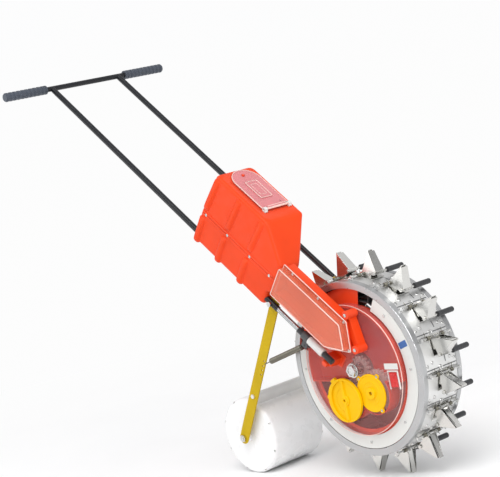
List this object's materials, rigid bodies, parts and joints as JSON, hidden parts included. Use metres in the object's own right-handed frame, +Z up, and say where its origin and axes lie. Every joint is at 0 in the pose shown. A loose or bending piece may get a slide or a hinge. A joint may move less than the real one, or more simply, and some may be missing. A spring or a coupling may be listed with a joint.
{
  "type": "push seeder",
  "caption": "Walking punch seeder: a duckbill planting wheel on a long tubular handle, fed through a chute from a sloping hopper, with a sprung press roller behind.",
  "frame": {"origin": "centre of the overall bounding box at ground level", "axes": "+X forward, the way it is pushed; +Y to the machine's left; +Z up"},
  "size_m": [1.2944, 0.57, 1.1561],
  "materials": {
    "black_paint": "satin",
    "grip_rubber": "matt, ribbed",
    "zinc_tube": "satin zinc",
    "tube_trim": "matt",
    "stainless": "satin",
    "bright_steel": "bright zinc",
    "orange_plastic": "semi-gloss moulded",
    "guard_plastic": "semi-gloss moulded",
    "bracket_paint": "satin",
    "white_plastic": "moulded",
    "clear_red": "clear tinted",
    "yellow_plastic": "moulded",
    "gate_red": "moulded",
    "gear_plastic": "moulded",
    "strut_paint": "satin",
    "spring_wire": "dark phosphated",
    "roller_plastic": "moulded",
    "wheel_steel": "satin stainless",
    "hub_cast": "cast"
  },
  "bodies": {
    "frame": {"crossbar": "black_paint", "grip_left": "grip_rubber", "grip_right": "grip_rubber", "handle_tube_left": "black_paint", "handle_tube_right": "black_paint", "lower_tubes": "zinc_tube", "tube_sleeves": "tube_trim", "axle": "bright_steel", "frame_bolts": "bright_steel", "tube_socket": "orange_plastic", "axle_bracket": "bracket_paint", "hopper_top": "orange_plastic", "hopper_base": "orange_plastic", "tube_brackets": "bracket_paint", "lid_clips": "white_plastic", "chute_body": "orange_plastic", "chute_cover": "clear_red", "seed_housing": "guard_plastic", "side_disc": "clear_red", "side_ring": "white_plastic", "gear_cover": "yellow_plastic", "case_screws": "bright_steel", "tension_springs": "spring_wire"},
    "lid": {"hopper_lid": "clear_red"},
    "seed_cover": {"seed_cover": "yellow_plastic"},
    "seed_gate": {"seed_gate": "gate_red"},
    "idler": {"idler_gear": "gear_plastic"},
    "seed_wheel": {"seed_wheel": "gear_plastic"},
    "press_frame": {"roller_struts": "strut_paint", "roller_axle": "bright_steel", "scraper_bar": "stainless"},
    "roller": {"roller_drum": "roller_plastic", "roller_caps": "roller_plastic"},
    "wheel": {"ring_near": "wheel_steel", "ring_far": "wheel_steel", "tread_plates": "wheel_steel", "wheel_screws": "bright_steel", "pivot_pins": "bright_steel", "fixed_beaks": "wheel_steel", "wheel_disc": "stainless", "wheel_hub": "hub_cast", "hub_bearings": "bright_steel", "cell_ring": "gear_plastic", "hub_gear": "gear_plastic"},
    "beak_1": {"beak_1": "wheel_steel"},
    "beak_2": {"beak_2": "wheel_steel"},
    "beak_3": {"beak_3": "wheel_steel"},
    "beak_4": {"beak_4": "wheel_steel"},
    "beak_5": {"beak_5": "wheel_steel"},
    "beak_6": {"beak_6": "wheel_steel"},
    "beak_7": {"beak_7": "wheel_steel"},
    "beak_8": {"beak_8": "wheel_steel"},
    "beak_9": {"beak_9": "wheel_steel"},
    "beak_10": {"beak_10": "wheel_steel"},
    "beak_11": {"beak_11": "wheel_steel"},
    "beak_12": {"beak_12": "wheel_steel"},
    "beak_13": {"beak_13": "wheel_steel"},
    "beak_14": {"beak_14": "wheel_steel"},
    "beak_15": {"beak_15": "wheel_steel"},
    "beak_16": {"beak_16": "wheel_steel"}
  },
  "joints": [
    {"name": "wheel_spin", "type": "hinge", "parent": "frame", "child": "wheel", "pos_m": [0.35867, 0, 0.28855], "axis": [0, 1, 0], "continuous": true},
    {"name": "strut_swing", "type": "hinge", "parent": "frame", "child": "press_frame", "pos_m": [0.1452, 0, 0.47744], "axis": [0, 1, 0], "range_deg": [0, 10], "stiffness_Nm_per_rad": 100, "springref_deg": -20.05, "deforming": ["tension_springs"]},
    {"name": "roller_spin", "type": "hinge", "parent": "press_frame", "child": "roller", "pos_m": [-0.09833, 0, 0.1047], "axis": [0, 1, 0], "continuous": true},
    {"name": "lid_hinge", "type": "hinge", "parent": "frame", "child": "lid", "pos_m": [0.15746, -0.047, 0.71815], "axis": [0, 1, 0], "range_deg": [0, 110]},
    {"name": "cover_turn", "type": "hinge", "parent": "frame", "child": "seed_cover", "pos_m": [0.31959, -0.09, 0.21356], "axis": [0, 1, 0], "range_deg": [0, 60]},
    {"name": "gate_slide", "type": "slide", "parent": "frame", "child": "seed_gate", "axis": [0, 0, -1], "range_m": [0, 0.014]},
    {"name": "idler_spin", "type": "hinge", "parent": "frame", "child": "idler", "pos_m": [0.41186, -0.055, 0.2315], "axis": [0, 1, 0], "continuous": true},
    {"name": "seed_wheel_spin", "type": "hinge", "parent": "frame", "child": "seed_wheel", "pos_m": [0.31959, -0.055, 0.21356], "axis": [0, 1, 0], "continuous": true},
    {"name": "beak_1_hinge", "type": "hinge", "parent": "wheel", "child": "beak_1", "pos_m": [0.38412, 0, 0.51901], "axis": [0, 1, 0], "range_deg": [0, 10], "stiffness_Nm_per_rad": 0.5, "springref_deg": -11.46},
    {"name": "beak_2_hinge", "type": "hinge", "parent": "wheel", "child": "beak_2", "pos_m": [0.47038, 0, 0.49173], "axis": [0, 1, 0], "range_deg": [0, 10], "stiffness_Nm_per_rad": 0.5, "springref_deg": -11.46},
    {"name": "beak_3_hinge", "type": "hinge", "parent": "wheel", "child": "beak_3", "pos_m": [0.53963, 0, 0.43351], "axis": [0, 1, 0], "range_deg": [0, 10], "stiffness_Nm_per_rad": 0.5, "springref_deg": -11.46},
    {"name": "beak_4_hinge", "type": "hinge", "parent": "wheel", "child": "beak_4", "pos_m": [0.58133, 0, 0.35323], "axis": [0, 1, 0], "range_deg": [0, 10], "stiffness_Nm_per_rad": 0.5, "springref_deg": -11.46},
    {"name": "beak_5_hinge", "type": "hinge", "parent": "wheel", "child": "beak_5", "pos_m": [0.58913, 0, 0.2631], "axis": [0, 1, 0], "range_deg": [0, 10], "stiffness_Nm_per_rad": 0.5, "springref_deg": -11.46},
    {"name": "beak_6_hinge", "type": "hinge", "parent": "wheel", "child": "beak_6", "pos_m": [0.56185, 0, 0.17684], "axis": [0, 1, 0], "range_deg": [0, 10], "stiffness_Nm_per_rad": 0.5, "springref_deg": -11.46},
    {"name": "beak_7_hinge", "type": "hinge", "parent": "wheel", "child": "beak_7", "pos_m": [0.50364, 0, 0.10759], "axis": [0, 1, 0], "range_deg": [0, 10], "stiffness_Nm_per_rad": 0.5, "springref_deg": -11.46},
    {"name": "beak_8_hinge", "type": "hinge", "parent": "wheel", "child": "beak_8", "pos_m": [0.42335, 0, 0.06589], "axis": [0, 1, 0], "range_deg": [0, 10], "stiffness_Nm_per_rad": 0.5, "springref_deg": -11.46},
    {"name": "beak_9_hinge", "type": "hinge", "parent": "wheel", "child": "beak_9", "pos_m": [0.33322, 0, 0.05808], "axis": [0, 1, 0], "range_deg": [0, 10], "stiffness_Nm_per_rad": 0.5, "springref_deg": -11.46},
    {"name": "beak_10_hinge", "type": "hinge", "parent": "wheel", "child": "beak_10", "pos_m": [0.24696, 0, 0.08536], "axis": [0, 1, 0], "range_deg": [0, 10], "stiffness_Nm_per_rad": 0.5, "springref_deg": -11.46},
    {"name": "beak_11_hinge", "type": "hinge", "parent": "wheel", "child": "beak_11", "pos_m": [0.17771, 0, 0.14358], "axis": [0, 1, 0], "range_deg": [0, 10], "stiffness_Nm_per_rad": 0.5, "springref_deg": -11.46},
    {"name": "beak_12_hinge", "type": "hinge", "parent": "wheel", "child": "beak_12", "pos_m": [0.13601, 0, 0.22386], "axis": [0, 1, 0], "range_deg": [0, 10], "stiffness_Nm_per_rad": 0.5, "springref_deg": -11.46},
    {"name": "beak_13_hinge", "type": "hinge", "parent": "wheel", "child": "beak_13", "pos_m": [0.12821, 0, 0.314], "axis": [0, 1, 0], "range_deg": [0, 10], "stiffness_Nm_per_rad": 0.5, "springref_deg": -11.46},
    {"name": "beak_14_hinge", "type": "hinge", "parent": "wheel", "child": "beak_14", "pos_m": [0.15549, 0, 0.40025], "axis": [0, 1, 0], "range_deg": [0, 10], "stiffness_Nm_per_rad": 0.5, "springref_deg": -11.46},
    {"name": "beak_15_hinge", "type": "hinge", "parent": "wheel", "child": "beak_15", "pos_m": [0.2137, 0, 0.4695], "axis": [0, 1, 0], "range_deg": [0, 10], "stiffness_Nm_per_rad": 0.5, "springref_deg": -11.46},
    {"name": "beak_16_hinge", "type": "hinge", "parent": "wheel", "child": "beak_16", "pos_m": [0.29399, 0, 0.51121], "axis": [0, 1, 0], "range_deg": [0, 10], "stiffness_Nm_per_rad": 0.5, "springref_deg": -11.46}
  ],
  "couplings": [
    {"joint": "idler_spin", "follows": "wheel_spin", "ratio": -0.56},
    {"joint": "seed_wheel_spin", "follows": "wheel_spin", "ratio": 0.63636}
  ]
}
